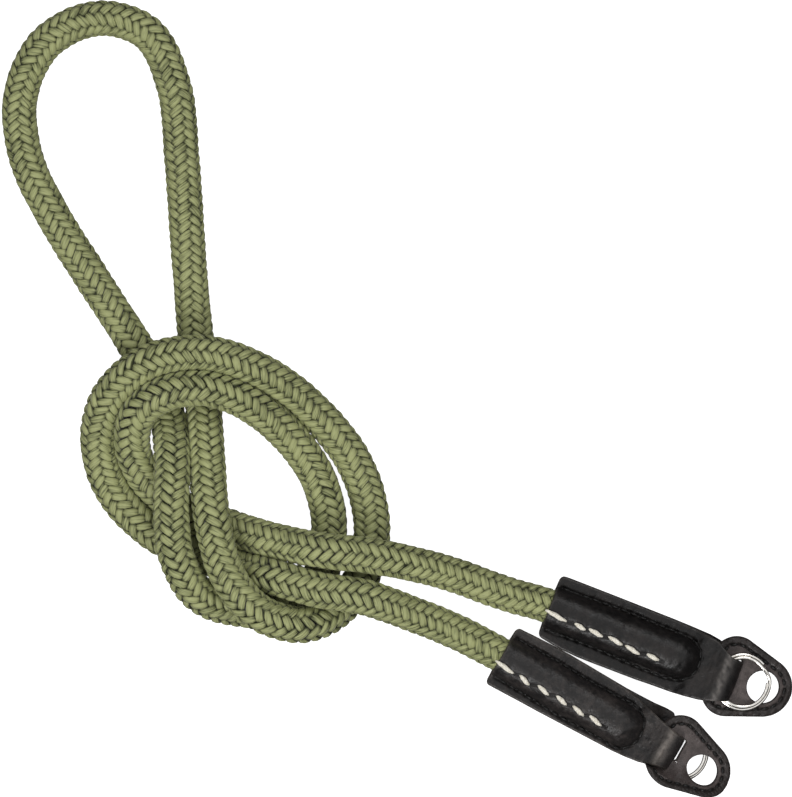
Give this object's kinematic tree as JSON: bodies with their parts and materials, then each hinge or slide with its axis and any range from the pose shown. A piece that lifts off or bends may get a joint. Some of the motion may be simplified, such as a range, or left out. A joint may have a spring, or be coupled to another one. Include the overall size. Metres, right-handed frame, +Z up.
{
  "type": "camera neck strap",
  "caption": "Thick braided rope neck strap, doubled and tied in a loose overhand knot, with a leather sleeve, ring guard and split ring at each end.",
  "frame": {"origin": "on the surface the strap lies on, under the middle of the box of the two end fittings", "axes": "+Z up from the surface; +X along the longer side of the box of the two end fittings, from the rope's mouths towards the rings; the long neck loop lies towards +Y"},
  "size_m": [0.2253, 0.2283, 0.0214],
  "materials": {
    "rope": "olive green braided cord, matt with a slight sheen on each yarn",
    "sleeve_leather": "near-black smooth leather with a soft sheen",
    "guard_leather": "near-black brown leather, more matt than the sleeves",
    "ring_steel": "polished bright steel",
    "stitch_thread": "off-white waxed thread",
    "edge_thread": "black waxed thread"
  },
  "bodies": {
    "root": {"rope": "rope", "sleeve_a": "sleeve_leather", "sleeve_b": "sleeve_leather", "guard_a": "guard_leather", "guard_b": "guard_leather", "ring_a": "ring_steel", "ring_b": "ring_steel"}
  },
  "joints": []
}
